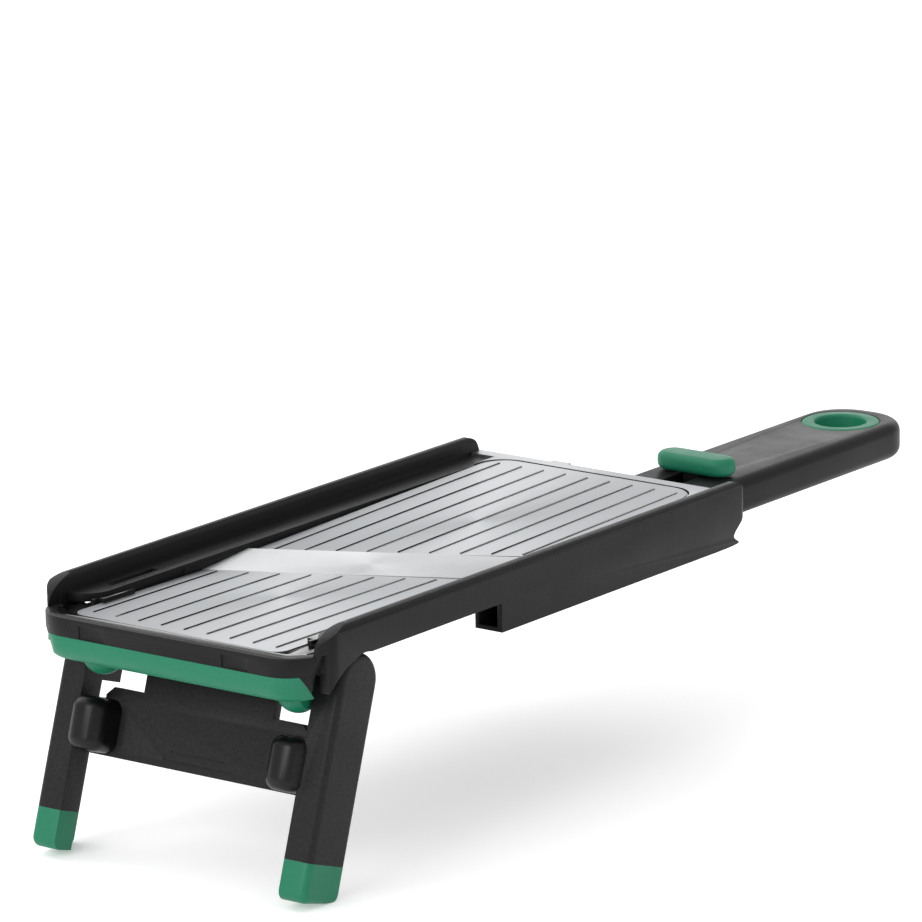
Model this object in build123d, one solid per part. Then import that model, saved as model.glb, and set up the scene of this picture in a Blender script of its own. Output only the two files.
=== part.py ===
from build123d import *
import os
from math import cos, radians, sin, tan

# Handheld mandoline slicer with a folding leg frame and a sliding thickness control.
# Millimetres. +X runs towards the handle, +Y to the left-hand side, +Z up.
# The pieces are drawn on the deck's own datum and moved as they are written, so that the origin
# is on the surface that the feet stand on, under the middle of the overall box.

# ---- driving dimensions --------------------------------------------------------------
to_origin = (-3.26, 0.0, 1.9)
half_width = 47.2            # outer faces of the side rails
rail_wall = 3.8
rail_top = 70.6
ledge_top = 65.6             # smooth shelf between a rail and the steel
ledge_inner = 35.3
front_end = -159.3           # front of the body
nose_half = 44.6             # the nose is narrower than the rails
nose_wall = 5.0
rail_start = -152.3
rear_end = 33.8              # rear of the deck, where the handle leaves it
front_radius = 11.0

deck_top = 63.5              # top of the fixed plate at its front
front_deck_fall = 0.56       # degrees, the fixed plate falls towards the blade
feed_deck_rise = 1.43        # degrees, the feed plate rises towards the handle
sheet = 0.8                  # steel sheet
carrier_depth = 2.4
plate_half = 34.2
feed_rear_rise = 2.65        # top of the feed plate above the fixed one, at its last groove end
feed_plate_end = 29.2
groove_front = -150.35
groove_rear = 25.2
groove_pitch = 7.5
groove_count = 9
groove_width = 0.6
rib_proud = 0.15

blade_skew = 0.5             # the edge moves this far along X for each mm across
blade_angle = 26.57          # degrees, the same skew as an angle
blade_front = -82.4          # centre-line X of the blade's back edge
blade_width = 17.2
blade_tilt = 5.0             # degrees
blade_sheet = 1.0
blade_back_top = 62.9

hinge_x, hinge_z = -135.69, 53.0     # leg hinge
leg_lean = 18.3                      # degrees forward of vertical, legs open
leg_depth = 7.7                      # half of the leg's depth
leg_outer = 45.3
leg_width = 8.3
leg_flange = 2.3                     # the outer wall of each leg, full depth
leg_rib = 7.4                        # depth of the rest of its section, behind its front face
sleeve_start = 46.9                  # distance down the leg where the foot sleeve begins
foot_radius = 2.6
leg_front_length = 57.4               # hinge to sole along the front face
leg_rear_length = 56.4

trim_low = 58.5              # joint between the front trim and the soft band
band_low = 51.4
band_depth = 6.2
beam_low, beam_top = 53.6, 57.6      # the cross-beam behind the front face

beam_front = -104.0                  # the cross-beam under the fixed plate
hanger_out = 36.0                    # webs that carry the beam and the blade bed, inside the folded legs

skirt_front = 61.1                   # underside of the rails over the folded legs
skirt_rear = 53.2
step_x = -77.9

handle_half = 15.3
handle_top = 56.6
handle_split = 48.0
handle_bottom = 46.0
handle_wall = 2.4
handle_front = 2.0
ring_x = 149.5
ring_outer = 11.45
hang_radius = 7.4
handle_end = ring_x + 17.3
handle_corner = 13.5

slider_x = 77.1
slider_travel = 24.0
slot_half = 3.6
feed_hinge_x, feed_hinge_z = 24.0, 61.6
feed_drop = 3.5                      # degrees, feed plate at its lowest
follower_x, follower_z = -11.3, 54.0
gap = 0.35


# ---- small helpers -------------------------------------------------------------------
def block(x0, x1, y0, y1, z0, z1):
    """A box between two corners."""
    middle = ((x0 + x1) / 2, (y0 + y1) / 2, (z0 + z1) / 2)
    return Pos(*middle) * Box(x1 - x0, y1 - y0, z1 - z0)


def rod_y(x, z, radius, y0, y1):
    """A cylinder along Y."""
    return Pos(x, (y0 + y1) / 2, z) * Rot(90, 0, 0) * Cylinder(radius, y1 - y0)


def rod_z(x, y, radius, z0, z1):
    """A cylinder along Z."""
    return Pos(x, y, (z0 + z1) / 2) * Cylinder(radius, z1 - z0)


def side_prism(points, y0, y1):
    """A side-view outline (x, z) extruded across from y0 to y1."""
    outline = make_face(Polyline(*[(x, y0, z) for x, z in points], close=True))
    return extrude(outline, amount=y1 - y0, dir=(0, 1, 0))


def plan_prism(outline, z0, z1):
    """A plan outline extruded from z0 to z1."""
    return extrude(Pos(0, 0, z0) * outline, amount=z1 - z0)


def both_sides(shape):
    """A left-hand solid and its mirror image."""
    return [shape, mirror(shape, about=Plane.XZ)]


def write(name, *solids):
    """One STEP file for one node; several solids stay separate in it."""
    pieces = []
    for solid in solids:
        pieces.extend(solid.solids())
    pieces = [Pos(*to_origin) * piece for piece in pieces]
    shape = pieces[0] if len(pieces) == 1 else Compound(children=pieces)
    export_step(shape, os.path.join("parts", name + ".step"))


# ---- the two grooved plates ----------------------------------------------------------
front_tilt = Pos(groove_front, 0, deck_top) * Rot(0, front_deck_fall, 0)
feed_tilt = Pos(groove_rear, 0, deck_top + feed_rear_rise) * Rot(0, -feed_deck_rise, 0)


def blade_back(y):
    return blade_front - blade_skew * y


def blade_edge(y):
    return blade_back(y) + blade_width / cos(radians(blade_angle))


def skewed_plate(x_front, x_rear, half, radius, corners):
    """A plate outline whose ends are each a function of y; one end's corners are rounded."""
    points = [(x_front(half), half), (x_front(-half), -half), (x_rear(-half), -half), (x_rear(half), half)]
    outline = make_face(Polyline(*points, close=True))
    ordered = outline.vertices().sort_by(Axis.X)
    return fillet(ordered[:2] if corners == "front" else ordered[-2:], radius)


def groove_lines():
    middle = (groove_count - 1) / 2
    return [groove_pitch * (middle - k) for k in range(groove_count)]


def groove_strips(x_front, x_rear, width):
    """The round-ended strips of the grooves, as one sketch."""
    strips = Sketch()
    for y in groove_lines():
        x0, x1 = x_front(y), x_rear(y)
        strips += Pos((x0 + x1) / 2, y) * SlotOverall(x1 - x0, width)
    return strips


def grooved_pair(outline, carrier_outline, x_front, x_rear):
    """A slotted steel sheet, top at z = 0, and the moulded carrier whose ribs fill its slots."""
    slots = groove_strips(x_front, x_rear, groove_width)
    ribs = groove_strips(x_front, x_rear, groove_width - 0.06)
    steel = plan_prism(outline - slots, -sheet, 0)
    carrier = plan_prism(carrier_outline, -sheet - carrier_depth, -sheet)
    carrier += plan_prism(carrier_outline - offset(outline, 0.05), -sheet, -0.25)
    carrier += plan_prism(ribs, -sheet, rib_proud)
    return steel, carrier


def front_plate_parts():
    front = groove_front - 4.0
    shift = groove_front
    outline = skewed_plate(lambda y: front - shift, lambda y: blade_back(y) - 0.4 - shift, plate_half, 4.0, "front")
    border = skewed_plate(lambda y: front - 0.6 - shift, lambda y: blade_back(y) - 0.4 - shift,
                          plate_half + 0.7, 4.6, "front")
    steel, carrier = grooved_pair(outline, border, lambda y: 0.0, lambda y: blade_back(y) - 2.2 - shift)
    return front_tilt * steel, front_tilt * carrier


def feed_plate_outline(grow, front_gap):
    shift = groove_rear
    return skewed_plate(lambda y: blade_edge(y) + front_gap - shift, lambda y: feed_plate_end + grow - shift,
                        plate_half + grow, 8.0 + grow, "rear")


def feed_plate_parts():
    shift = groove_rear
    outline = feed_plate_outline(0.0, 1.0)
    border = feed_plate_outline(0.3, 1.0)
    steel, carrier = grooved_pair(outline, border, lambda y: blade_edge(y) + 2.6 - shift, lambda y: 0.0)
    steel, carrier = feed_tilt * steel, feed_tilt * carrier
    under = deck_top + feed_rear_rise - sheet - carrier_depth

    def below(x):
        return under + (x - groove_rear) * tan(radians(feed_deck_rise)) + 0.3

    for side in (1, -1):
        y0, y1 = sorted((side * 24.0, side * 33.6))
        carrier += rod_y(feed_hinge_x, feed_hinge_z, 3.2, y0, y1)
        carrier += block(feed_hinge_x - 3.2, feed_hinge_x + 3.2, y0, y1, feed_hinge_z, under + 0.4)
    for y in (-18.0, 18.0):
        rib_points = [(-40, below(-40)), (18, below(18)), (18, below(18) - 2.6), (-36, below(-36) - 2.6)]
        carrier += side_prism(rib_points, y - 1, y + 1)
    for y0 in (-6.4, 3.4):
        lug = [(-17, below(-17)), (-5.6, below(-5.6)), (-8.0, follower_z - 3.0), (-14.6, follower_z - 3.0)]
        carrier += side_prism(lug, y0, y0 + 3.0)
    carrier -= rod_y(feed_hinge_x, feed_hinge_z, 1.55, -40, 40)
    carrier -= rod_y(follower_x, follower_z, 1.25, -10, 10)
    follower = rod_y(follower_x, follower_z, 1.25, -6.4, 6.4)
    return steel, carrier, follower


# ---- blade ---------------------------------------------------------------------------
blade_frame = Plane(origin=(blade_front, 0, blade_back_top), x_dir=(2, 1, 0), z_dir=(1, -2, 0))


def blade_section(points):
    """A section across the blade (distance from its back edge, height) run along the blade."""
    section = blade_frame * make_face(Polyline(*points, close=True))
    return extrude(section, amount=60, both=True)


def blade_parts():
    rise = tan(radians(blade_tilt))
    bevel = 4.2

    def top(w):
        return rise * w

    steel = [(0, 0), (blade_width, top(blade_width)), (blade_width - bevel, top(blade_width - bevel) - blade_sheet),
             (0, -blade_sheet)]
    blade = blade_section(steel) & block(-120, -30, -plate_half - 0.6, plate_half + 0.6, 50, 80)
    seat = [(0, -blade_sheet), (12, top(12) - blade_sheet), (11.2, top(12) - 2.8), (2.5, -4.6), (0, -4.6)]
    bed = blade_section(seat) & block(-120, -30, -hanger_out + 0.3, hanger_out - 0.3, 50, 80)
    screws = []
    for y in (-24.0, 0.0, 24.0):
        spot = Pos(blade_front - blade_skew * y + 6.6, y, 0)
        hole_top = blade_back_top + top(5.9) - blade_sheet
        bed -= spot * Pos(0, 0, 55) * Cylinder(1.25, 30)
        shank = spot * Pos(0, 0, hole_top - 3.6) * Cylinder(1.2, 6.4)
        shank &= blade_section([(0, -9), (0, -blade_sheet), (14, top(14) - blade_sheet), (14, -9)])
        head = spot * Pos(0, 0, hole_top - 6.3) * Cylinder(2.3, 1.4)
        head -= spot * Pos(0, 0, hole_top - 6.9) * extrude(RegularPolygon(1.1, 6), amount=0.8)
        screws.append(shank + head)
    for screw in screws:
        bed -= screw
    return blade, bed, screws


# ---- leg frame -----------------------------------------------------------------------
# In the legs' own frame, local +X is forward off their face and local +Y is down them.
leg_plane = Plane(origin=(hinge_x, 0, hinge_z), x_dir=(-cos(radians(leg_lean)), 0, sin(radians(leg_lean))),
                  z_dir=(0, -1, 0))


def leg_outline(depth, top_radius):
    """Side view of one leg: round at the hinge, its sole nearly square to it with a level heel to stand on."""
    bar = make_face(Polyline((depth, 0), (depth, leg_front_length), (-depth, leg_rear_length), (-depth, 0), close=True))
    bar = fillet(bar.vertices().sort_by(Axis.Y)[-2:], foot_radius)
    return bar + Circle(top_radius)


def along_leg(outline, y0, y1):
    """A leg-view outline extruded across from y0 to y1."""
    return Pos(0, y0, 0) * extrude(leg_plane * outline, amount=y0 - y1)


def leg_box(t0, t1, s0, s1, y0, y1):
    """A block from its forward, downward and sideways limits in the legs' frame."""
    outline = make_face(Polyline((t0, s0), (t1, s0), (t1, s1), (t0, s1), close=True))
    return along_leg(outline, y0, y1)


def leg_parts():
    inner = leg_outer - leg_width
    full = along_leg(leg_outline(leg_depth, leg_depth), inner, leg_outer)
    long_edges = [e for e in full.edges() if abs(e.center().Y - leg_outer) < 0.01]
    full = fillet(long_edges, 1.9)
    full -= block(-190, -100, 0, 60, -30, -to_origin[2])
    hollow = leg_box(-leg_depth - 2, leg_depth - leg_rib, 12.0, 80, inner - 1, leg_outer - leg_flange)
    shell = full - hollow
    below = leg_box(-20, 20, sleeve_start, 90, inner - 1, leg_outer + 1)
    core = leg_box(leg_depth - leg_rib + 1.6, leg_depth - 1.6, sleeve_start - 1, sleeve_start + 5.5,
                   inner + 1.6, leg_outer - 1.8)
    sleeve = (shell & below) - core
    leg = shell - below + core - rod_y(hinge_x, hinge_z, 2.05, inner - 1, inner + 5.0)
    frame = leg_panel()
    for side in both_sides(leg):
        frame += side
    return frame, both_sides(sleeve)


def leg_panel():
    """The panel between the legs: a central tab, notches for the hinge lugs and two upright bosses."""
    panel_front, panel_back = 1.8, -1.2
    reach = leg_outer - leg_width + 0.5
    tab, shoulder, notch_in = 21.2, 31.0, 33.3
    half = [(tab, 4.6), (tab, 13.0), (shoulder, 13.0), (notch_in, 15.2), (notch_in, 18.4),
            (reach, 18.4), (reach, 31.0)]
    points = half + [(-y, s) for y, s in reversed(half)]
    face_plane = Plane(origin=leg_plane.from_local_coords((panel_back, 0, 0)), x_dir=(0, 1, 0),
                       z_dir=leg_plane.x_dir)
    panel = extrude(face_plane * make_face(Polyline(*points, close=True)), amount=panel_front - panel_back)
    boss_front, boss_in, boss_out = 11.6, 27.2, 38.2
    boss_high, boss_low = 16.2, 30.4
    plan = make_face(Polyline((panel_back, boss_in), (boss_front, boss_in), (boss_front, boss_out),
                              (panel_back, boss_out), close=True))
    plan = fillet(plan.vertices().sort_by(Axis.X)[-2:], 4.8)
    boss = extrude(plan, amount=boss_low - boss_high)
    rims = boss.edges().group_by(Axis.Z)[0] + boss.edges().group_by(Axis.Z)[-1]
    boss = fillet([e for e in rims if e.center().X > panel_back + 0.5], 3.2)
    across = Plane(origin=leg_plane.from_local_coords((0, boss_high, 0)), x_dir=leg_plane.x_dir,
                   z_dir=leg_plane.y_dir)
    boss = across * boss
    for side in both_sides(boss):
        panel += side
    for s, half_length in ((26.5, 9.1), (28.9, 11.2)):
        groove = face_plane * (Pos(0, s) * SlotOverall(2 * half_length, 0.5))
        panel -= extrude(Pos(*(face_plane.z_dir * (panel_front - panel_back - 0.3))) * groove, amount=2)
    return panel


# ---- slider --------------------------------------------------------------------------
def slider_parts():
    low = handle_top + gap
    pill = block(slider_x - 4.7, slider_x + 4.7, -12.3, 12.3, low, low + 5.2)
    pill = fillet(pill.edges().filter_by(Axis.Z), 4.5)
    pill = fillet(pill.faces().sort_by(Axis.Z)[-1].edges(), 2.6)
    pill = fillet(pill.faces().sort_by(Axis.Z)[0].edges(), 1.6)
    stem_top = low + 2.4
    socket = block(slider_x - 2.6, slider_x + 2.6, -3.0, 3.0, low - 1, stem_top)
    pill -= socket
    floor = handle_bottom + handle_wall
    carriage = block(slider_x - 7, slider_x + 7, -9.0, 9.0, floor + 2.6, handle_top - handle_wall - gap)
    carriage += block(slider_x - 2.55, slider_x + 2.55, -2.95, 2.95, floor + 4, stem_top - 0.1)
    bar_low, bar_high = follower_z - 3.4, follower_z + 2.2
    bar = block(follower_x - 5.0, slider_x - 6, -2.9, 2.9, bar_low, bar_low + 3.0)
    bar += block(follower_x - 5.0, follower_x + slider_travel + 8.0, -2.9, 2.9, bar_low, bar_high)
    drop = (feed_hinge_x - follower_x) * tan(radians(feed_drop))
    slope = drop / slider_travel
    x0, x1 = follower_x, follower_x + slider_travel
    spare = 2.4
    fall = slope * (slider_travel + spare)
    ramp = make_face(Polyline((x0, 0, follower_z + 1.4), (x1 + spare, 0, follower_z + 1.4 - fall),
                              (x1 + spare, 0, follower_z - 1.4 - fall), (x0, 0, follower_z - 1.4), close=True))
    ramp_cut = Pos(0, -5, 0) * extrude(ramp, amount=10, dir=(0, 1, 0))
    ramp_cut += rod_y(x0, follower_z, 1.4, -5, 5)
    carriage += bar - ramp_cut
    screw_hole = rod_z(slider_x, 0, 1.0, floor, stem_top - 0.4)
    carriage -= screw_hole
    head_pocket = rod_z(slider_x, 0, 2.3, floor, floor + 4.4)
    carriage -= head_pocket
    screw = rod_z(slider_x, 0, 1.0, floor + 4.0, stem_top - 0.6) + rod_z(slider_x, 0, 2.0, floor + 3.0, floor + 4.4)
    leaf = block(slider_x + 3.0, slider_x + 6.4, -6.0, 6.0, floor + 2.0, floor + 2.6)
    leaf += block(slider_x - 6.4, slider_x + 3.2, 3.4, 6.0, floor + 2.0, floor + 2.4)
    leaf += rod_y(slider_x - 5.4, floor + 1.9, 0.7, 3.4, 6.0)
    return pill, carriage, screw, leaf


# ---- handle --------------------------------------------------------------------------
def handle_plan(shrink):
    end = handle_end - shrink
    plan = Pos((handle_front + end) / 2, 0) * Rectangle(end - handle_front, 2 * (handle_half - shrink))
    return fillet(plan.vertices().sort_by(Axis.X)[-2:], handle_corner - shrink)


def handle_parts():
    body = plan_prism(handle_plan(0), handle_bottom, handle_top)
    rims = body.faces().sort_by(Axis.Z)
    loops = [e for e in rims[0].edges() + rims[-1].edges() if e.center().X > handle_front + 0.1]
    body = fillet(loops, 3.2)
    cavity = plan_prism(handle_plan(handle_wall) & (Pos(60, 0) * Rectangle(118, 60)),
                        handle_bottom + handle_wall, handle_top - handle_wall)
    cavity += block(handle_front - 1, 4, -7.5, 7.5, handle_bottom + handle_wall, handle_top - handle_wall)
    ring_seat = rod_z(ring_x, 0, ring_outer, handle_bottom - 1, handle_top + 1)
    slot = block(slider_x - slider_travel - 4.2, slider_x + 4.2, -slot_half, slot_half,
                 handle_top - 5, handle_top + 1)
    bar_way = block(handle_front - 1, follower_x + slider_travel + 9.0, -3.5, 3.5, handle_top - 5, handle_top + 1)
    body = body - cavity - ring_seat - slot - bar_way
    cover_plan = handle_plan(2.6) & (Pos((handle_front + 121.0) / 2, 0) * Rectangle(121.0 - handle_front, 60))
    cover_room = plan_prism(cover_plan, handle_bottom - 1, handle_split + 0.4)
    upper = body - cover_room
    cover_outline = offset(cover_plan, -0.15)
    lower = plan_prism(cover_outline, handle_bottom + 0.1, handle_split)
    screws = []
    for x, y in ((12.0, -9.0), (12.0, 9.0), (102.0, -8.0), (102.0, 8.0)):
        upper += rod_z(x, y, 2.6, handle_split + 0.4, handle_top - 1.0)
        lower += rod_z(x, y, 2.6, handle_split - 0.5, handle_split + 0.4)
        lower -= rod_z(x, y, 1.3, handle_bottom - 1, handle_split + 1)
        upper -= rod_z(x, y, 1.25, handle_split - 1, handle_split + 5.0)
        lower -= rod_z(x, y, 2.4, handle_bottom - 1, handle_bottom + 1.2)
        screw = rod_z(x, y, 1.25, handle_bottom + 1.0, handle_split + 4.9)
        screw += rod_z(x, y, 2.25, handle_bottom + 0.2, handle_bottom + 1.2)
        screw -= Pos(x, y, handle_bottom + 0.1) * extrude(RegularPolygon(1.1, 6), amount=0.7)
        screws.append(screw)
    ring = rod_z(ring_x, 0, ring_outer, handle_bottom + 0.1, handle_top + 0.15)
    ring -= rod_z(ring_x, 0, hang_radius, handle_bottom - 1, handle_top + 1)
    mouths = [e for e in ring.edges().filter_by(GeomType.CIRCLE) if e.radius < hang_radius + 0.1]
    ring = fillet(mouths, 1.0)
    floor = handle_bottom + handle_wall
    rack = block(slider_x - slider_travel - 9, slider_x + 2, 3.2, 6.4, floor, floor + 1.2)
    steps = 8
    for k in range(steps + 1):
        rack -= rod_y(slider_x - 5.4 - slider_travel * k / steps, floor + 1.9, 1.05, 3, 7)
    return upper, lower, screws, ring, rack


# ---- body frame ----------------------------------------------------------------------
def nose_outline():
    nose = Pos((front_end - 130.0) / 2, 0) * Rectangle(-130.0 - front_end, 2 * nose_half)
    return fillet(nose.vertices().sort_by(Axis.X)[:2], front_radius)


def nose_waste():
    """What is outside the nose's drafted sides: they lean in downwards while the front stays upright."""
    sections = []
    for z, half, radius in ((deck_top + 0.6, nose_half + 0.5, 10.4), (band_low - 1.6, nose_half - 3.4, 12.0)):
        nose = Pos((front_end - 130.7) / 2, 0) * Rectangle(-129.3 - front_end, 2 * half)
        sections.append(Pos(0, 0, z) * fillet(nose.vertices().sort_by(Axis.X)[:2], radius))
    return block(front_end - 3, -149.6, -60, 60, band_low - 1.0, deck_top + 0.3) - loft(sections)


def frame_outline():
    rails = Pos((rail_start + rear_end) / 2, 0) * Rectangle(rear_end - rail_start, 2 * half_width)
    rails = fillet(rails.vertices().sort_by(Axis.X)[:2], 6.0)
    rails = fillet(rails.vertices().sort_by(Axis.X)[-2:], 3.0)
    return rails + nose_outline()


def side_silhouette():
    """Side view of the body: low front, rounded rail ends, shallow skirt over the folded legs."""
    rise, pull = 13.0, 0.55
    nose_low = band_low + 1.2
    nose = Polyline((front_end - 1, nose_low), (front_end - 1, deck_top), (rail_start, deck_top))
    ramp = Bezier((rail_start, deck_top), (rail_start, deck_top + pull * (rail_top - deck_top)),
                  (rail_start + (1 - pull) * rise, rail_top), (rail_start + rise, rail_top))
    top = Line((rail_start + rise, rail_top), (rear_end - 6.0, rail_top))
    tail = Spline((rear_end - 6.0, rail_top), (rear_end - 0.6, 67.4), (rear_end - 0.6, 61.6), (rear_end - 6.2, 55.6),
                  (rear_end - 15.0, skirt_rear), tangents=((1, 0), (-1, 0)))
    under = Polyline((rear_end - 15.0, skirt_rear), (step_x, skirt_rear), (step_x, skirt_front),
                     (hinge_x - 0.6, skirt_front))
    arch = Bezier((hinge_x - 0.6, skirt_front), (hinge_x - 9.5, skirt_front - 1.2), (hinge_x - 12.2, 56.5),
                  (hinge_x - 14.4, nose_low))
    floor = Line((hinge_x - 14.4, nose_low), (front_end - 1, nose_low))
    edges = nose.edges() + ramp.edges() + top.edges() + tail.edges() + under.edges() + arch.edges() + floor.edges()
    return Plane.XZ * make_face(Wire(edges))


def rail_section():
    """The cross-section of both rails, with rounded crests, run along the body."""
    centre = half_width - rail_wall / 2
    crest = Pos(centre, (rail_top + 50) / 2) * Rectangle(rail_wall, rail_top - 50)
    inner, outer = crest.vertices().sort_by(Axis.Y)[-2:].sort_by(Axis.X)
    crest = fillet(outer, 2.2)
    inner = crest.vertices().group_by(Axis.X)[0].sort_by(Axis.Y)[-1]
    crest = fillet(inner, 1.4)
    low_front = Pos(0, 51.8) * Rectangle(2 * half_width - 2 * rail_wall + 0.2, 2 * (deck_top - 51.8))
    section = crest + mirror(crest, about=Plane.YZ) + low_front
    return extrude(Plane.YZ * section, amount=300, both=True)


def body_frame_part(fixed_neighbours):
    shell = plan_prism(frame_outline(), 50, 72)
    shell &= extrude(side_silhouette(), amount=60, both=True)
    wall_face = half_width - rail_wall
    hollow = Pos((rail_start + 1.0 + rear_end + 6.0) / 2, 0) * Rectangle(rear_end + 5.0 - rail_start, 2 * wall_face)
    hollow += offset(nose_outline(), -nose_wall)
    shell -= plan_prism(hollow, 40, 80)
    frame = (shell & rail_section()) - nose_waste()
    joined = wall_face + 0.2
    lug_radius = 6.2
    frame += plan_prism(offset(nose_outline(), 0.2 - nose_wall), beam_low, beam_top) & block(-170, -149.5, -60, 60, 50, 60)
    frame += block(front_end + 3, -142.5, -hanger_out, hanger_out, beam_low, beam_top)
    frame += block(beam_front, beam_front + 5.5, -hanger_out, hanger_out, 57.8, 60.6)
    lip_low = 60.8
    lip = plan_prism(offset(nose_outline(), 0.2 - nose_wall), lip_low + 0.3, deck_top - 0.35)
    plate_room = Pos((groove_front - 4.6 - 120) / 2, 0) * Rectangle(-120 - groove_front + 4.6, 2 * plate_half + 1.4)
    plate_room = fillet(plate_room.vertices().sort_by(Axis.X)[:2], 4.6)
    frame += (lip & block(front_end, -143.5, -60, 60, 50, 70)) - plan_prism(plate_room, 50, 70)
    for side in (1, -1):
        def span(a, b):
            return sorted((side * a, side * b))
        ledge_plan = Pos((-144.5 + rear_end) / 2, side * (ledge_inner + joined) / 2) * Rectangle(
            rear_end + 144.5, joined - ledge_inner)
        near = [v for v in ledge_plan.vertices() if abs(v.Y) < ledge_inner + 0.1 and v.X < -140]
        ledge_plan = fillet(near, 7.0)
        frame += plan_prism(ledge_plan, ledge_top - 2.2, ledge_top)
        frame += block(-144.0, step_x, *span(ledge_inner, ledge_inner + 1.0), lip_low, ledge_top - 1)
        frame += block(step_x, 20.0, *span(38.4, joined), skirt_rear, ledge_top - 1)
        frame -= block(step_x - 1, 16.0, *span(39.6, half_width - 1.6), skirt_rear + 1.2, ledge_top - 2.2)
        frame += block(18.0, rear_end - 5.6, *span(35.3, joined), 57.0, ledge_top - 1)
        frame += block(hinge_x - lug_radius, hinge_x + lug_radius, *span(33.4, hanger_out), hinge_z, ledge_top - 1)
        frame += rod_y(hinge_x, hinge_z, lug_radius, *span(33.4, hanger_out))
        frame += block(beam_front, beam_front + 5.5, *span(hanger_out - 1.05, hanger_out), 57.8, ledge_top - 1)
        frame -= block(-133.0, -114.0, *span(38.0, 40.2), 60, 67)
        frame -= rod_y(hinge_x, hinge_z, 2.0, *span(33, 37))
    frame += block(-107.0, -86.0, hanger_out - 1.05, hanger_out, 57.8, ledge_top - 1)
    frame += block(-73.0, -54.0, -38.6, 0.9 - hanger_out, 57.8, ledge_top - 1)
    frame += block(handle_front + 4, rear_end - 2.8, -38.6, 38.6, handle_top, 58.2)
    frame += block(rear_end - 4.0, rear_end - 0.6, -joined, joined, handle_top, ledge_top - 0.4)
    clearance = along_leg(leg_outline(leg_depth + 0.5, leg_depth + 0.8), leg_outer - leg_width - 0.4, leg_outer + 4)
    for cut in both_sides(clearance):
        frame -= cut
    frame -= rod_y(feed_hinge_x, feed_hinge_z, 1.5, -39, 39)
    for neighbour in fixed_neighbours:
        frame -= neighbour
    return frame


def rear_rim_part():
    """The fixed steel rim behind and round the rear corners of the feed plate."""
    rim = Pos(23.8, 0) * Rectangle(2 * (rear_end - 23.8), 2 * (plate_half + 0.9))
    rim += Pos(rear_end - 2.1, 0) * Rectangle(4.2, 2 * 43.2)
    rim += Pos(rear_end + 0.6, 16.0) * Rectangle(1.6, 6.0)
    gap_outline = Pos(groove_rear, 0) * feed_plate_outline(0.75, -5.0)
    rim -= gap_outline
    rim &= Pos(40, 0) * Rectangle(40, 100)
    return Pos(0, 0, 65.45) * extrude(rim, amount=0.9)


def front_strip(inset, reach, z0, z1):
    """A strip that wraps the front of the nose and its rounded corners."""
    strip = nose_outline() - offset(nose_outline(), -inset)
    strip &= Pos(front_end, 0) * Rectangle(2 * reach, 110)
    return plan_prism(strip, z0, z1)


def front_trim_parts():
    """The trim across the front with its clip windows, the soft band under it and two soft pads."""
    rebate = front_strip(3.0, 10.6, trim_low, deck_top)
    trim = rebate
    for y in (-23.5, 23.5):
        trim -= block(front_end - 1, front_end + 0.5, y - 4.2, y + 4.2, trim_low + 0.3, trim_low + 3.6)
    band_limits = side_prism([(-170, 50), (-149.6, 50), (-149.6, band_low), (-155.6, trim_low), (-170, trim_low)],
                             -60, 60)
    band = front_strip(band_depth, 10.6, band_low, trim_low)
    band_rebate = band & band_limits
    low_edges = band.edges().group_by(Axis.Z)[0]
    outer = [e for e in low_edges if e.center().X < front_end + 0.1 or abs(e.center().Y) > nose_half - band_depth]
    band = fillet([e for e in outer if e.length > band_depth + 0.5], 4.6)
    band &= band_limits
    pads = []
    pad_outer = 35.9
    for y in (-32.0, 32.0):
        pad = Pos(-144.2, y, 51.1) * Sphere(5.8)
        pad &= block(-152.5, -136.0, -pad_outer, pad_outer, 45, beam_low)
        pad -= rod_y(hinge_x, hinge_z, 2.4, y - 8, y + 8)
        pads.append(pad)
    return trim - nose_waste(), rebate, band - nose_waste(), band_rebate, pads


def leg_detent_parts():
    """The leaf that clicks over the top of the leg panel, and its two screws."""
    leaf = block(-153.0, -134.0, -10.0, 10.0, beam_top, beam_top + 0.5)
    screws = []
    for y in (-6.0, 6.0):
        leaf -= rod_z(-150.2, y, 1.0, beam_low, beam_top + 2)
        shank = rod_z(-150.2, y, 1.0, beam_top - 3.0, beam_top + 1.0)
        screws.append(shank + rod_z(-150.2, y, 1.9, beam_top + 0.5, beam_top + 1.7))
    return leaf, screws


def leg_pins():
    pins = []
    for side in (1, -1):
        y0, y1 = sorted((side * 33.4, side * 41.6))
        pins.append(rod_y(hinge_x, hinge_z, 2.0, y0, y1))
    return pins


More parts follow.
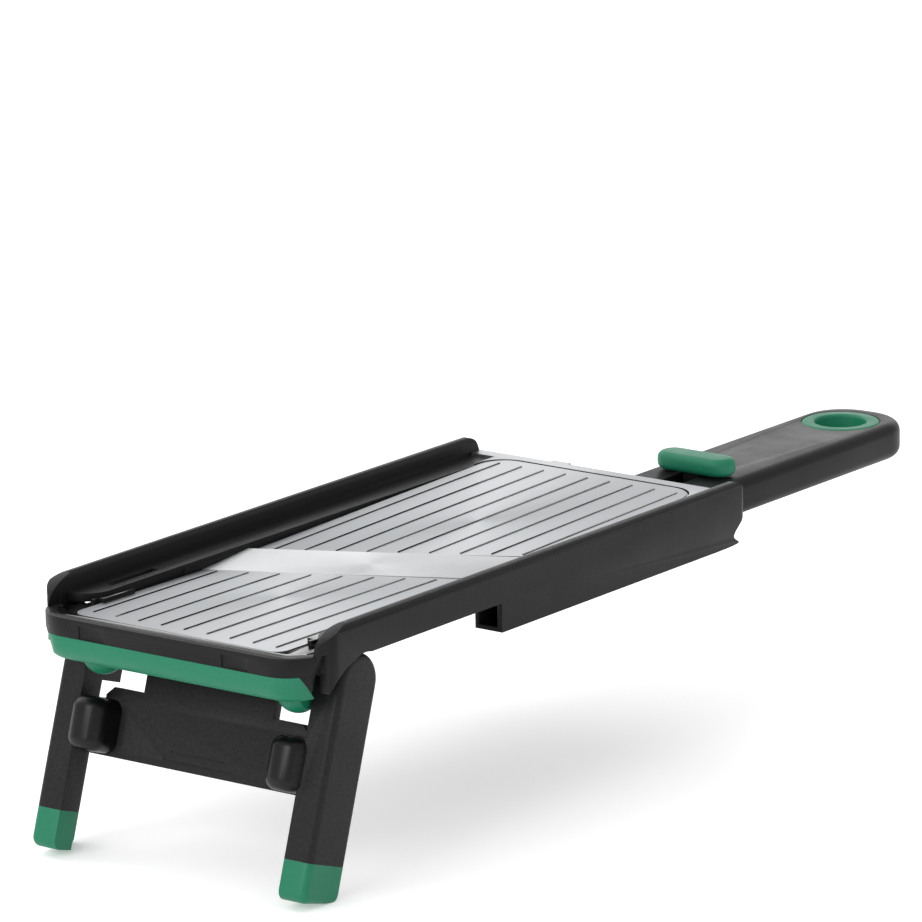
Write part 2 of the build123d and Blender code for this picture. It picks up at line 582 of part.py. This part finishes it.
def build():
    os.makedirs("parts", exist_ok=True)
    front_steel, front_carrier = front_plate_parts()
    feed_steel, feed_carrier, follower = feed_plate_parts()
    blade, bed, blade_screws = blade_parts()
    legs, sleeves = leg_parts()
    pill, carriage, slider_screw, leaf = slider_parts()
    upper, lower, handle_screws, ring, rack = handle_parts()
    rim = rear_rim_part()
    trim, trim_rebate, band, band_rebate, pads = front_trim_parts()
    feed_pin = rod_y(feed_hinge_x, feed_hinge_z, 1.5, -38.8, 38.8)
    pins = leg_pins()
    detent, detent_screws = leg_detent_parts()
    fixed = [front_steel, front_carrier, bed, blade, rim, trim_rebate, band_rebate]
    frame = body_frame_part(fixed + pads + detent_screws)
    front_carrier -= bed

    write("body_frame", frame)
    write("front_trim", trim)
    write("bumper_band", band)
    write("bumper_pads", *pads)
    write("front_plate", front_steel)
    write("front_plate_carrier", front_carrier)
    write("blade", blade)
    write("blade_bed", bed)
    write("blade_screws", *blade_screws)
    write("rear_rim", rim)
    write("feed_plate", feed_steel)
    write("feed_plate_carrier", feed_carrier)
    write("feed_hinge_pin", feed_pin)
    write("feed_follower_pin", follower)
    write("handle_upper", upper)
    write("handle_lower", lower)
    write("handle_screws", *handle_screws)
    write("hang_ring", ring)
    write("thickness_slider", pill)
    write("slider_carriage", carriage)
    write("slider_screw", slider_screw)
    write("slider_detent_leaf", leaf)
    write("detent_rack", rack)
    write("leg_frame", legs)
    write("left_foot", sleeves[0])
    write("right_foot", sleeves[1])
    write("leg_hinge_pins", *pins)
    write("leg_detent_leaf", detent)
    write("leg_detent_screws", *detent_screws)


build()
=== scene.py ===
import bpy
import bmesh
import math
from mathutils import Matrix, Vector


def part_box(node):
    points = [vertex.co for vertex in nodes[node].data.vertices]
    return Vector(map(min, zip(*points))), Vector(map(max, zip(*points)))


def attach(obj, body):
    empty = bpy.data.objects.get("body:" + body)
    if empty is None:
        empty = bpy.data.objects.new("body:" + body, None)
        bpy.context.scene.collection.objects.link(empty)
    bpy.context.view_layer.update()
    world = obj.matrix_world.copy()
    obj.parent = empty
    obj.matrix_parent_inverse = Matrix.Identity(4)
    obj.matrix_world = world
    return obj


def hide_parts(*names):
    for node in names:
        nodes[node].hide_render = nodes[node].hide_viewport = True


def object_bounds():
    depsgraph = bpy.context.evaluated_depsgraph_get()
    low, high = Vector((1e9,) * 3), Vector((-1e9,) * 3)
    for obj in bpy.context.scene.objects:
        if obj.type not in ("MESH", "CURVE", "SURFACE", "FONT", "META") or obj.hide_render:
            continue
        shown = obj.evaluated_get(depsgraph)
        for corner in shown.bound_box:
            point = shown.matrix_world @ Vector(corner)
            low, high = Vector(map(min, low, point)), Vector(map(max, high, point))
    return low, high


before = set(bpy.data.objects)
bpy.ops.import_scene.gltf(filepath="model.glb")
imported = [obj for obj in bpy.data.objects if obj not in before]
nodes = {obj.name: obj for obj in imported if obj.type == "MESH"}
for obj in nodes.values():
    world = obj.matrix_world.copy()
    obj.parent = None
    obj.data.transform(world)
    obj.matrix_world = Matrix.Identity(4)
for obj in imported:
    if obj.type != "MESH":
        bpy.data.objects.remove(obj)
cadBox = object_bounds()
mm = 0.001


# small tools
def deselect():
    if bpy.context.mode != "OBJECT":
        bpy.ops.object.mode_set(mode="OBJECT")
    bpy.ops.object.select_all(action="DESELECT")


def pick(piece):
    deselect()
    piece.select_set(True)
    bpy.context.view_layer.objects.active = piece


def pickEdges(piece, test):
    # leaves the piece in edit mode with only the edges that pass the test selected
    pick(piece)
    bpy.ops.object.mode_set(mode="EDIT")
    bpy.ops.mesh.select_mode(type="EDGE")
    bpy.ops.mesh.select_all(action="DESELECT")
    mesh = bmesh.from_edit_mesh(piece.data)
    for edge in mesh.edges:
        if test(edge):
            edge.select_set(True)
    mesh.select_flush_mode()
    bmesh.update_edit_mesh(piece.data)


def applyAll(piece):
    pick(piece)
    for modifier in list(piece.modifiers):
        bpy.ops.object.modifier_apply(modifier=modifier.name)


def settle(piece, smoothAngle=35):
    pick(piece)
    bpy.ops.object.transform_apply(location=True, rotation=True, scale=True)
    bpy.ops.object.shade_smooth_by_angle(angle=math.radians(smoothAngle))


def addBevel(piece, width, segments=3, angle=30):
    bevel = piece.modifiers.new("softEdges", "BEVEL")
    bevel.width = width
    bevel.segments = segments
    bevel.limit_method = "ANGLE"
    bevel.angle_limit = math.radians(angle)
    bevel.use_clamp_overlap = True
    bevel.harden_normals = False
    applyAll(piece)


blockWork = {"upright": 0.2 * mm, "level": 0.01 * mm, "cornerSteps": 10, "rimSteps": 6}


def roundedBlock(name, low, high, cornerRadius, rimRadius):
    # a block with upright corners rounded first and its rims after that
    deselect()
    middle = [(a + b) / 2 for a, b in zip(low, high)]
    bpy.ops.mesh.primitive_cube_add(size=1, location=middle)
    piece = bpy.context.active_object
    piece.name = name
    piece.scale = [b - a for a, b in zip(low, high)]
    bpy.ops.object.transform_apply(location=True, rotation=True, scale=True)
    pickEdges(piece, lambda edge: abs((edge.verts[0].co - edge.verts[1].co).z) > blockWork["upright"])
    bpy.ops.mesh.bevel(offset=cornerRadius, segments=blockWork["cornerSteps"], affect="EDGES")

    def onRim(edge):
        return any(all(abs(corner.co.z - level) < blockWork["level"] for corner in edge.verts)
                   for level in (low[2], high[2]))

    pickEdges(piece, onRim)
    bpy.ops.mesh.bevel(offset=rimRadius, segments=blockWork["rimSteps"], affect="EDGES")
    bpy.ops.object.mode_set(mode="OBJECT")
    return piece


cleaning = {"merge": 0.002 * mm, "flatDegrees": 0.5}


def softened(name, node, body, width, segments=2):
    # a merged copy of a piece with its sharp edges slightly rounded
    copy = nodes[node].copy()
    copy.data = nodes[node].data.copy()
    copy.name = name
    copy.parent = None
    for key in list(copy.keys()):
        if key.startswith("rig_"):
            del copy[key]
    bpy.context.scene.collection.objects.link(copy)
    pick(copy)
    bpy.ops.object.mode_set(mode="EDIT")
    bpy.ops.mesh.select_all(action="SELECT")
    bpy.ops.mesh.remove_doubles(threshold=cleaning["merge"])
    bpy.ops.mesh.dissolve_limited(angle_limit=math.radians(cleaning["flatDegrees"]))
    bpy.ops.object.mode_set(mode="OBJECT")
    if width:
        addBevel(copy, width, segments)
    settle(copy)
    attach(copy, body)
    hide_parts(node)
    return copy


# shader groups
def newGroup(name, inputs, outputs):
    tree = bpy.data.node_groups.new(name, "ShaderNodeTree")
    for label, value in inputs:
        socket = tree.interface.new_socket(name=label, in_out="INPUT", socket_type="NodeSocketFloat")
        socket.default_value = value
    for label in outputs:
        tree.interface.new_socket(name=label, in_out="OUTPUT", socket_type="NodeSocketFloat")
    return tree, tree.nodes.new("NodeGroupInput"), tree.nodes.new("NodeGroupOutput")


def mathNode(tree, operation, first, second):
    node = tree.nodes.new("ShaderNodeMath")
    node.operation = operation
    for index, value in enumerate((first, second)):
        if isinstance(value, (int, float)):
            node.inputs[index].default_value = value
        else:
            tree.links.new(value, node.inputs[index])
    return node.outputs[0]


def rangeNode(tree, value, low, high, newLow, newHigh):
    node = tree.nodes.new("ShaderNodeMapRange")
    for label, number in (("From Min", low), ("From Max", high), ("To Min", newLow), ("To Max", newHigh)):
        if isinstance(number, (int, float)):
            node.inputs[label].default_value = number
        else:
            tree.links.new(number, node.inputs[label])
    tree.links.new(value, node.inputs["Value"])
    return node.outputs["Result"]


def noiseNode(tree, vector, scale, detail=2.0, roughness=0.5):
    node = tree.nodes.new("ShaderNodeTexNoise")
    node.inputs["Detail"].default_value = detail
    node.inputs["Roughness"].default_value = roughness
    if isinstance(scale, (int, float)):
        node.inputs["Scale"].default_value = scale
    else:
        tree.links.new(scale, node.inputs["Scale"])
    tree.links.new(vector, node.inputs["Vector"])
    return node.outputs["Fac"]


def sparkGrainGroup():
    # the fine spark-eroded texture of a tool, with a little variation over the part
    look = {"detail": 3.0, "rough": 0.6, "pitShare": 0.6, "slowScale": 38.0, "slowRough": 0.55,
            "speckLow": 0.35, "speckHigh": 0.7}
    tree, enter, leave = newGroup("sparkGrain", [("Scale", 2200.0), ("Patchiness", 0.25)], ["Height", "Tone"])
    coords = tree.nodes.new("ShaderNodeTexCoord").outputs["Object"]
    fine = noiseNode(tree, coords, enter.outputs["Scale"], look["detail"], look["rough"])
    cells = tree.nodes.new("ShaderNodeTexVoronoi")
    cells.feature = "SMOOTH_F1"
    tree.links.new(coords, cells.inputs["Vector"])
    tree.links.new(enter.outputs["Scale"], cells.inputs["Scale"])
    pits = mathNode(tree, "MULTIPLY", cells.outputs["Distance"], look["pitShare"])
    tree.links.new(mathNode(tree, "ADD", fine, pits), leave.inputs["Height"])
    slow = noiseNode(tree, coords, look["slowScale"], look["detail"], look["slowRough"])
    speck = rangeNode(tree, fine, look["speckLow"], look["speckHigh"], 0.0, 1.0)
    patch = mathNode(tree, "MULTIPLY", slow, enter.outputs["Patchiness"])
    grain = mathNode(tree, "MULTIPLY", speck, mathNode(tree, "SUBTRACT", 1.0, enter.outputs["Patchiness"]))
    tree.links.new(mathNode(tree, "ADD", patch, grain), leave.inputs["Tone"])
    return tree


def edgeRubGroup():
    # edges that handling has polished: where the rounded normal leaves the true one
    look = {"samples": 4, "edgeStart": 0.995, "edgeFull": 0.86, "detail": 4.0,
            "breakLow": 0.42, "breakHigh": 0.6}
    tree, enter, leave = newGroup("edgeRub", [("Radius", 0.0006), ("Break", 240.0)], ["Mask"])
    bevel = tree.nodes.new("ShaderNodeBevel")
    bevel.samples = look["samples"]
    tree.links.new(enter.outputs["Radius"], bevel.inputs["Radius"])
    geometry = tree.nodes.new("ShaderNodeNewGeometry")
    dot = tree.nodes.new("ShaderNodeVectorMath")
    dot.operation = "DOT_PRODUCT"
    tree.links.new(bevel.outputs["Normal"], dot.inputs[0])
    tree.links.new(geometry.outputs["Normal"], dot.inputs[1])
    edge = rangeNode(tree, dot.outputs["Value"], look["edgeStart"], look["edgeFull"], 0.0, 1.0)
    coords = tree.nodes.new("ShaderNodeTexCoord").outputs["Object"]
    blotches = noiseNode(tree, coords, enter.outputs["Break"], look["detail"])
    patches = rangeNode(tree, blotches, look["breakLow"], look["breakHigh"], 0.0, 1.0)
    tree.links.new(mathNode(tree, "MULTIPLY", edge, patches), leave.inputs["Mask"])
    return tree


def brushLinesGroup():
    # fine scratches drawn out along the deck, and the slow waviness of rolled sheet
    look = {"lineDetail": 4.0, "lineRough": 0.6, "waveScale": 24.0, "waveDetail": 2.0, "waveRough": 0.5}
    tree, enter, leave = newGroup("brushLines", [("Length", 6.0), ("Fineness", 2400.0)], ["Lines", "Waves"])
    coords = tree.nodes.new("ShaderNodeTexCoord").outputs["Object"]
    scale = tree.nodes.new("ShaderNodeCombineXYZ")
    tree.links.new(enter.outputs["Length"], scale.inputs["X"])
    tree.links.new(enter.outputs["Fineness"], scale.inputs["Y"])
    tree.links.new(enter.outputs["Fineness"], scale.inputs["Z"])
    stretch = tree.nodes.new("ShaderNodeVectorMath")
    stretch.operation = "MULTIPLY"
    tree.links.new(coords, stretch.inputs[0])
    tree.links.new(scale.outputs[0], stretch.inputs[1])
    lines = noiseNode(tree, stretch.outputs[0], 1.0, look["lineDetail"], look["lineRough"])
    waves = noiseNode(tree, coords, look["waveScale"], look["waveDetail"], look["waveRough"])
    tree.links.new(lines, leave.inputs["Lines"])
    tree.links.new(waves, leave.inputs["Waves"])
    return tree


def handlingGroup():
    # faint smears and finger marks, used for gloss only
    look = {"detail": 5.0, "rough": 0.65, "low": 0.35, "high": 0.7}
    tree, enter, leave = newGroup("handling", [("Scale", 60.0)], ["Smears"])
    coords = tree.nodes.new("ShaderNodeTexCoord").outputs["Object"]
    warp = noiseNode(tree, coords, enter.outputs["Scale"], look["detail"], look["rough"])
    tree.links.new(rangeNode(tree, warp, look["low"], look["high"], 0.0, 1.0), leave.inputs["Smears"])
    return tree


groups = {"grain": sparkGrainGroup(), "rub": edgeRubGroup(),
          "brush": brushLinesGroup(), "handling": handlingGroup()}
print("stage: shader groups ready")


# materials
def newMaterial(name, metallic=0.0, specular=0.5, anisotropic=0.0):
    material = bpy.data.materials.new(name)
    material.use_nodes = True
    tree = material.node_tree
    shader = tree.nodes["Principled BSDF"]
    shader.inputs["Metallic"].default_value = metallic
    shader.inputs["Specular IOR Level"].default_value = specular
    shader.inputs["Anisotropic"].default_value = anisotropic
    return material, tree, shader


def useGroup(tree, key, **values):
    node = tree.nodes.new("ShaderNodeGroup")
    node.node_tree = groups[key]
    for label, value in values.items():
        node.inputs[label].default_value = value
    return node


def mixColours(tree, factor, first, second):
    node = tree.nodes.new("ShaderNodeMix")
    node.data_type = "RGBA"
    for label, value in (("A", first), ("B", second)):
        socket = [s for s in node.inputs if s.name == label and s.type == "RGBA"][0]
        if isinstance(value, tuple):
            socket.default_value = (*value, 1.0)
        else:
            tree.links.new(value, socket)
    tree.links.new(factor, node.inputs["Factor"])
    return [s for s in node.outputs if s.type == "RGBA"][0]


def bumpFrom(tree, shader, height, distance):
    bump = tree.nodes.new("ShaderNodeBump")
    bump.inputs["Distance"].default_value = distance
    tree.links.new(height, bump.inputs["Height"])
    tree.links.new(bump.outputs["Normal"], shader.inputs["Normal"])


plastic = {"patchiness": 0.3, "rubRadius": 0.6 * mm, "rubBreak": 260.0, "smearScale": 55.0,
           "rubTint": 0.35, "rubPolish": 0.12}


def mouldedPlastic(name, dark, light, rubbed, gloss, grainScale, grainDepth, specular=0.5):
    material, tree, shader = newMaterial(name, specular=specular)
    grain = useGroup(tree, "grain", Scale=grainScale, Patchiness=plastic["patchiness"])
    rub = useGroup(tree, "rub", Radius=plastic["rubRadius"], Break=plastic["rubBreak"])
    smears = useGroup(tree, "handling", Scale=plastic["smearScale"])
    body = mixColours(tree, grain.outputs["Tone"], dark, light)
    tint = mathNode(tree, "MULTIPLY", rub.outputs["Mask"], plastic["rubTint"])
    colour = mixColours(tree, tint, body, rubbed)
    tree.links.new(colour, shader.inputs["Base Color"])
    rough = rangeNode(tree, smears.outputs["Smears"], 0.0, 1.0, gloss[0], gloss[1])
    polish = mathNode(tree, "MULTIPLY", rub.outputs["Mask"], plastic["rubPolish"])
    worn = mathNode(tree, "SUBTRACT", rough, polish)
    tree.links.new(worn, shader.inputs["Roughness"])
    bumpFrom(tree, shader, grain.outputs["Height"], grainDepth)
    return material


metal = {"anisotropic": 0.5, "smearScale": 30.0, "lineLow": 0.35, "lineHigh": 0.65,
         "waveRough": 0.03, "smearRough": 0.02}


def brushedMetal(name, dark, light, gloss, length, fineness, depth):
    material, tree, shader = newMaterial(name, metallic=1.0, anisotropic=metal["anisotropic"])
    brush = useGroup(tree, "brush", Length=length, Fineness=fineness)
    smears = useGroup(tree, "handling", Scale=metal["smearScale"])
    lines = rangeNode(tree, brush.outputs["Lines"], metal["lineLow"], metal["lineHigh"], 0.0, 1.0)
    tree.links.new(mixColours(tree, lines, dark, light), shader.inputs["Base Color"])
    wave = mathNode(tree, "MULTIPLY", brush.outputs["Waves"], metal["waveRough"])
    rough = rangeNode(tree, lines, 0.0, 1.0, gloss[0], gloss[1])
    smear = mathNode(tree, "MULTIPLY", smears.outputs["Smears"], metal["smearRough"])
    marked = mathNode(tree, "ADD", mathNode(tree, "ADD", rough, wave), smear)
    tree.links.new(marked, shader.inputs["Roughness"])
    bumpFrom(tree, shader, brush.outputs["Lines"], depth)
    return material


blackShell = mouldedPlastic(
    "blackShell", dark=(0.0042, 0.0042, 0.0044), light=(0.0095, 0.0095, 0.0098),
    rubbed=(0.022, 0.022, 0.0225), gloss=(0.38, 0.48), grainScale=2600.0, grainDepth=0.04 * mm, specular=0.17)
legBlack = mouldedPlastic(
    "legBlack", dark=(0.005, 0.005, 0.0052), light=(0.014, 0.014, 0.0145), rubbed=(0.03, 0.03, 0.03),
    gloss=(0.42, 0.52), grainScale=1100.0, grainDepth=0.05 * mm, specular=0.2)
satinBlack = mouldedPlastic(
    "satinBlack", dark=(0.003, 0.003, 0.003), light=(0.005, 0.005, 0.005), rubbed=(0.012, 0.012, 0.012),
    gloss=(0.26, 0.36), grainScale=900.0, grainDepth=0.006 * mm, specular=0.24)
glossBlack = mouldedPlastic(
    "glossBlack", dark=(0.003, 0.003, 0.003), light=(0.0045, 0.0045, 0.0045), rubbed=(0.009, 0.009, 0.009),
    gloss=(0.1, 0.18), grainScale=900.0, grainDepth=0.006 * mm)
softGreen = mouldedPlastic(
    "softGreen", dark=(0.006, 0.142, 0.074), light=(0.009, 0.178, 0.096), rubbed=(0.024, 0.23, 0.14),
    gloss=(0.42, 0.55), grainScale=3000.0, grainDepth=0.03 * mm, specular=0.3)
plateSteel = brushedMetal(
    "plateSteel", dark=(0.3, 0.308, 0.32), light=(0.345, 0.357, 0.368), gloss=(0.36, 0.42),
    length=5.0, fineness=2600.0, depth=0.003 * mm)
bladeSteel = brushedMetal(
    "bladeSteel", dark=(0.5, 0.508, 0.515), light=(0.535, 0.54, 0.545), gloss=(0.32, 0.38),
    length=9.0, fineness=1500.0, depth=0.002 * mm)
screwSteel = brushedMetal(
    "screwSteel", dark=(0.5, 0.5, 0.51), light=(0.62, 0.62, 0.63), gloss=(0.22, 0.32),
    length=700.0, fineness=700.0, depth=0.005 * mm)
print("stage: materials ready")


def coat(piece, material):
    piece.data.materials.clear()
    piece.data.materials.append(material)


def coatNode(node, material):
    piece = nodes[node]
    if not piece.material_slots:
        piece.data.materials.append(material)
    for slot in piece.material_slots:
        slot.material = material


# body
body = {"edge": 0.45 * mm, "shellEdge": 0.3 * mm, "bedEdge": 0.3 * mm}
bodyFrame = softened("bodyShell", "body_frame", "frame", body["edge"], 3)
coat(bodyFrame, blackShell)
bodyFrame.data.materials.append(glossBlack)
# the upward faces between the rails, below the ledge tops, are polished
shelf = {"low": 60.5 * mm, "high": 67.0 * mm, "half": 43.2 * mm, "upright": 0.6}
for face in bodyFrame.data.polygons:
    level, side, upright = face.center.z, abs(face.center.y), face.normal.z
    if shelf["low"] < level < shelf["high"] and side < shelf["half"] and upright > shelf["upright"]:
        face.material_index = 1
upperHandle = softened("upperHandleShell", "handle_upper", "frame", body["shellEdge"])
coat(upperHandle, blackShell)
lowerHandle = softened("lowerHandleShell", "handle_lower", "frame", body["shellEdge"])
coat(lowerHandle, blackShell)
bedPiece = softened("bladeBedBar", "blade_bed", "frame", body["bedEdge"])
coat(bedPiece, blackShell)
print("stage: body and handle ready")

# deck
deck = {"bladeEdge": 0.06 * mm}
frontRibs = softened("frontRibDeck", "front_plate_carrier", "frame", 0)
coat(frontRibs, glossBlack)
feedRibs = softened("feedRibDeck", "feed_plate_carrier", "feed_deck", 0)
coat(feedRibs, glossBlack)
for node in ("front_plate", "feed_plate", "rear_rim"):
    coatNode(node, plateSteel)
bladePiece = softened("skewedBlade", "blade", "frame", deck["bladeEdge"])
coat(bladePiece, bladeSteel)
for node in ("blade_screws", "feed_hinge_pin", "feed_follower_pin", "handle_screws", "slider_screw",
             "slider_detent_leaf", "leg_hinge_pins", "leg_detent_leaf", "leg_detent_screws"):
    coatNode(node, screwSteel)
for node in ("slider_carriage", "detent_rack"):
    coatNode(node, blackShell)
print("stage: deck ready")

# front trim, band and pads
trim = {"stripEdge": 0.18 * mm, "bandEdge": 0.4 * mm, "padEdge": 0.3 * mm}
trimPiece = softened("frontTrimStrip", "front_trim", "frame", trim["stripEdge"])
coat(trimPiece, blackShell)
bandPiece = softened("frontSoftBand", "bumper_band", "frame", trim["bandEdge"])
coat(bandPiece, softGreen)
padsPiece = softened("frontPads", "bumper_pads", "frame", trim["padEdge"])
coat(padsPiece, softGreen)
print("stage: trim ready")

# legs, with the two bosses on their panel in a smoother black
leg = {"edge": 0.4 * mm, "sleeveEdge": 0.35 * mm}
legPiece = softened("legMoulding", "leg_frame", "legs", leg["edge"], 3)
coat(legPiece, legBlack)
legPiece.data.materials.append(satinBlack)
boss = {"inner": 26.0 * mm, "outer": 36.8 * mm, "proud": 2.2 * mm, "leanDegrees": 18.3}
lean = math.radians(boss["leanDegrees"])
low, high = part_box("leg_hinge_pins")
hinge = (low + high) / 2
for face in legPiece.data.polygons:
    reach = face.center - hinge
    proud = reach.z * math.sin(lean) - reach.x * math.cos(lean)
    if proud > boss["proud"] and boss["inner"] < abs(face.center.y) < boss["outer"]:
        face.material_index = 1
for node, name in (("left_foot", "leftFootSleeve"), ("right_foot", "rightFootSleeve")):
    sleeve = softened(name, node, "legs", leg["sleeveEdge"], 3)
    coat(sleeve, softGreen)
print("stage: legs ready")

# slider button and hang ring
button = {"cornerShare": 0.49, "rim": 2.0 * mm, "smooth": 60}
low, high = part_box("thickness_slider")
corner = (high.x - low.x) * button["cornerShare"]
sliderButton = roundedBlock("sliderButton", low, high, corner, button["rim"])
settle(sliderButton, button["smooth"])
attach(sliderButton, "slider")
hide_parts("thickness_slider")
coat(sliderButton, softGreen)

ring = {"sides": 96, "wall": 4.05 * mm, "lip": 0.9 * mm, "lipSteps": 5, "lipAngle": 50, "smooth": 60}
low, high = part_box("hang_ring")
deselect()
bpy.ops.mesh.primitive_cylinder_add(vertices=ring["sides"], radius=(high.x - low.x) / 2,
                                    depth=high.z - low.z, end_fill_type="NOTHING", location=(low + high) / 2)
hangRing = bpy.context.active_object
hangRing.name = "hangRingLiner"
bpy.ops.object.transform_apply(location=True, rotation=True, scale=True)
wall = hangRing.modifiers.new("wall", "SOLIDIFY")
wall.thickness = ring["wall"]
wall.offset = -1
applyAll(hangRing)
addBevel(hangRing, ring["lip"], ring["lipSteps"], ring["lipAngle"])
settle(hangRing, ring["smooth"])
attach(hangRing, "frame")
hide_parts("hang_ring")
coat(hangRing, softGreen)
print("stage: slider and ring ready")


# floor, light and camera
stageSetup = {"floorSize": 12.0, "floorGrey": 0.9, "floorRough": 0.9, "floorSpecular": 0.1,
              "floorGlow": 0.3, "worldWhite": 0.78}
lamps = {
    "leftBackKey": {"place": (0.1, 1.3, 1.2), "size": (1.6, 1.6), "power": 11.0},
    "topFill": {"place": (0.0, 0.0, 1.8), "size": (1.8, 1.8), "power": 5.0},
    "backSheen": {"place": (1.7, 1.1, 0.65), "size": (1.6, 0.9), "power": 6.0},
    "frontFill": {"place": (-1.6, 0.2, 0.8), "size": (1.0, 0.8), "power": 11.0}}
deselect()
bpy.ops.mesh.primitive_plane_add(size=stageSetup["floorSize"], location=(0, 0, 0))
floor = bpy.context.active_object
floor.name = "floor"
floorPaint, floorTree, floorShader = newMaterial("floorPaint", specular=stageSetup["floorSpecular"])
floorShader.inputs["Base Color"].default_value = (*[stageSetup["floorGrey"]] * 3, 1.0)
floorShader.inputs["Roughness"].default_value = stageSetup["floorRough"]
floorShader.inputs["Emission Color"].default_value = (1.0, 1.0, 1.0, 1.0)
floorShader.inputs["Emission Strength"].default_value = stageSetup["floorGlow"]
floor.data.materials.append(floorPaint)

world = bpy.data.worlds.new("studioWhite")
world.use_nodes = True
world.node_tree.nodes["Background"].inputs["Color"].default_value = (1, 1, 1, 1)
world.node_tree.nodes["Background"].inputs["Strength"].default_value = stageSetup["worldWhite"]
bpy.context.scene.world = world


def softbox(name, place, target, size, power):
    lamp = bpy.data.lights.new(name, "AREA")
    lamp.shape = "RECTANGLE"
    lamp.size, lamp.size_y = size
    lamp.energy = power
    holder = bpy.data.objects.new(name, lamp)
    bpy.context.scene.collection.objects.link(holder)
    holder.location = place
    holder.rotation_euler = (Vector(target) - Vector(place)).to_track_quat("-Z", "Y").to_euler()


middle = (cadBox[0] + cadBox[1]) / 2
for name, lamp in lamps.items():
    softbox(name, lamp["place"], middle, lamp["size"], lamp["power"])

# the aim is a step from the middle of the whole object
view = {"azimuth": -52.87, "elevation": 14.15, "distance": 1.888, "lens": 270.3, "roll": -0.87,
        "aim": (-0.0070, 0.0216, 0.0396), "sensor": 36.0, "farClip": 60.0}
camera = bpy.data.objects.new("camera", bpy.data.cameras.new("camera"))
bpy.context.scene.collection.objects.link(camera)
camera.data.lens = view["lens"]
camera.data.sensor_width = view["sensor"]
camera.data.clip_end = view["farClip"]
camera.data.dof.use_dof = False
azimuth, elevation = math.radians(view["azimuth"]), math.radians(view["elevation"])
forward = Vector((-math.sin(azimuth) * math.cos(elevation), math.cos(azimuth) * math.cos(elevation),
                  -math.sin(elevation)))
aim = middle + Vector(view["aim"])
camera.location = aim - forward * view["distance"]
camera.rotation_euler = (forward.to_track_quat("-Z", "Y").to_matrix()
                         @ Matrix.Rotation(math.radians(view["roll"]), 3, "Z")).to_euler()
bpy.context.scene.camera = camera
bpy.context.scene.view_settings.view_transform = "Standard"
print("stage: light and camera ready")
